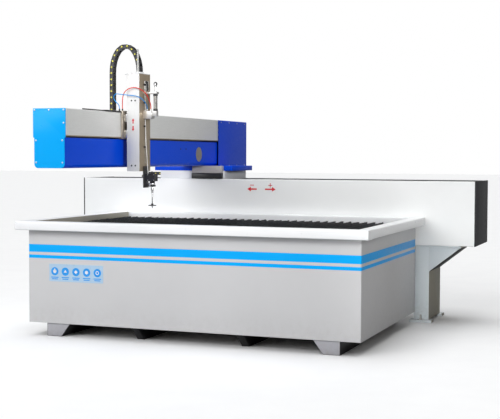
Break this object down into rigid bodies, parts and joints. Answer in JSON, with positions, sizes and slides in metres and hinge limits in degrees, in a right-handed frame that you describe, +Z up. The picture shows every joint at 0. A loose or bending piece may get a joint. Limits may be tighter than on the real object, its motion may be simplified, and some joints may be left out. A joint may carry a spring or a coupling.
{
  "type": "waterjet cutting machine",
  "caption": "Cantilever abrasive waterjet cutting machine: slatted water tank, long rear beam, travelling arm with a vertical ram and cutting head.",
  "frame": {"origin": "on the floor, at the middle of the whole machine's box", "axes": "+X along the beam to the right as seen from the front, +Y from the front to the back, +Z up"},
  "size_m": [3.69, 3.492, 2.2759],
  "materials": {
    "white_paint": "satin powder coat",
    "tank_steel": "dull",
    "black_plastic": "matt",
    "grey_paint": "satin",
    "slat_steel": "rusty hot-rolled steel",
    "machine_steel": "primer",
    "charcoal_paint": "satin",
    "bellows_fabric": "coated fabric",
    "rail_steel": "ground",
    "cast_iron": "machined",
    "servo_black": "satin",
    "blue_grey_paint": "satin",
    "zinc_steel": "zinc plated",
    "chain_plastic": "moulded nylon",
    "blue_paint": "gloss",
    "black_paint": "satin",
    "brushed_stainless": "brushed",
    "seal_rubber": "matt",
    "azure_paint": "gloss",
    "machined_plate": "machined",
    "brushed_aluminium": "brushed",
    "chrome_rod": "polished",
    "stainless_head": "turned",
    "red_hose": "polyurethane",
    "blue_hose": "polyurethane"
  },
  "bodies": {
    "base": {"tank_casing": "white_paint", "tank_liner": "tank_steel", "tank_floor": "tank_steel", "tank_rim": "white_paint", "rim_end_caps": "black_plastic", "skids": "grey_paint", "slats": "slat_steel", "slat_combs": "slat_steel", "beam_core": "machine_steel", "beam_covers": "white_paint", "beam_end_caps": "charcoal_paint", "bellows_left": "bellows_fabric", "bellows_right": "bellows_fabric", "x_rails": "rail_steel", "x_screw_bearings": "cast_iron", "x_servo": "servo_black", "beam_columns": "blue_grey_paint", "column_gussets": "blue_grey_paint", "levelling_screws": "zinc_steel", "beam_chain_trough": "white_paint", "beam_chain": "chain_plastic"},
    "x_screw": {"x_screw": "rail_steel"},
    "x_carriage": {"x_blocks": "rail_steel", "x_nut": "cast_iron", "carriage_riser": "white_paint", "carriage_plate": "blue_paint", "drive_cover_base": "black_paint", "drive_cover_lid": "brushed_stainless", "arm_core": "machine_steel", "arm_lower_cover": "blue_paint", "arm_upper_cover": "brushed_stainless", "slot_seal": "seal_rubber", "arm_rear_housing": "blue_paint", "arm_front_cap": "azure_paint", "arm_screws": "zinc_steel", "access_plate": "brushed_stainless", "y_rails": "rail_steel", "y_screw_bearings": "cast_iron", "y_servo": "servo_black"},
    "y_screw": {"y_screw": "rail_steel"},
    "y_saddle": {"y_blocks": "rail_steel", "y_nut": "cast_iron", "saddle": "machined_plate", "saddle_tray": "black_paint", "z_blocks": "rail_steel", "z_nut": "cast_iron", "ram_chain": "chain_plastic", "red_hose": "red_hose", "blue_hose": "blue_hose"},
    "ram": {"ram_column": "brushed_aluminium", "ram_cap": "white_paint", "z_rails": "rail_steel", "z_servo": "servo_black", "air_brackets": "brushed_aluminium", "air_cylinder": "brushed_aluminium", "head_bracket": "black_paint", "cutting_head": "stainless_head", "splash_guard": "black_plastic"},
    "z_screw": {"z_screw": "rail_steel"},
    "air_rod": {"air_rod": "chrome_rod"}
  },
  "joints": [
    {"name": "x_slide", "type": "slide", "parent": "base", "child": "x_carriage", "axis": [1, 0, 0], "range_m": [-0.72, 1.64], "deforming": ["bellows_left", "bellows_right", "beam_chain"]},
    {"name": "x_screw_turn", "type": "hinge", "parent": "base", "child": "x_screw", "pos_m": [0, 0.9965, 1.141], "axis": [1, 0, 0], "continuous": true},
    {"name": "y_slide", "type": "slide", "parent": "x_carriage", "child": "y_saddle", "axis": [0, 1, 0], "range_m": [-0.15, 1.34]},
    {"name": "y_screw_turn", "type": "hinge", "parent": "x_carriage", "child": "y_screw", "pos_m": [-0.6815, 0, 1.636], "axis": [0, 1, 0], "continuous": true},
    {"name": "z_slide", "type": "slide", "parent": "y_saddle", "child": "ram", "axis": [0, 0, 1], "range_m": [-0.14, 0.06], "deforming": ["ram_chain", "red_hose", "blue_hose"]},
    {"name": "z_screw_turn", "type": "hinge", "parent": "ram", "child": "z_screw", "pos_m": [-0.5085, -0.807, 1.7], "axis": [0, 0, 1], "continuous": true},
    {"name": "air_rod_slide", "type": "slide", "parent": "ram", "child": "air_rod", "axis": [0, 0, 1], "range_m": [-0.04, 0]}
  ],
  "couplings": [
    {"joint": "x_screw_turn", "follows": "x_slide", "rad_per_m": 157.08},
    {"joint": "y_screw_turn", "follows": "y_slide", "rad_per_m": 157.08},
    {"joint": "z_screw_turn", "follows": "z_slide", "rad_per_m": 628.32}
  ]
}
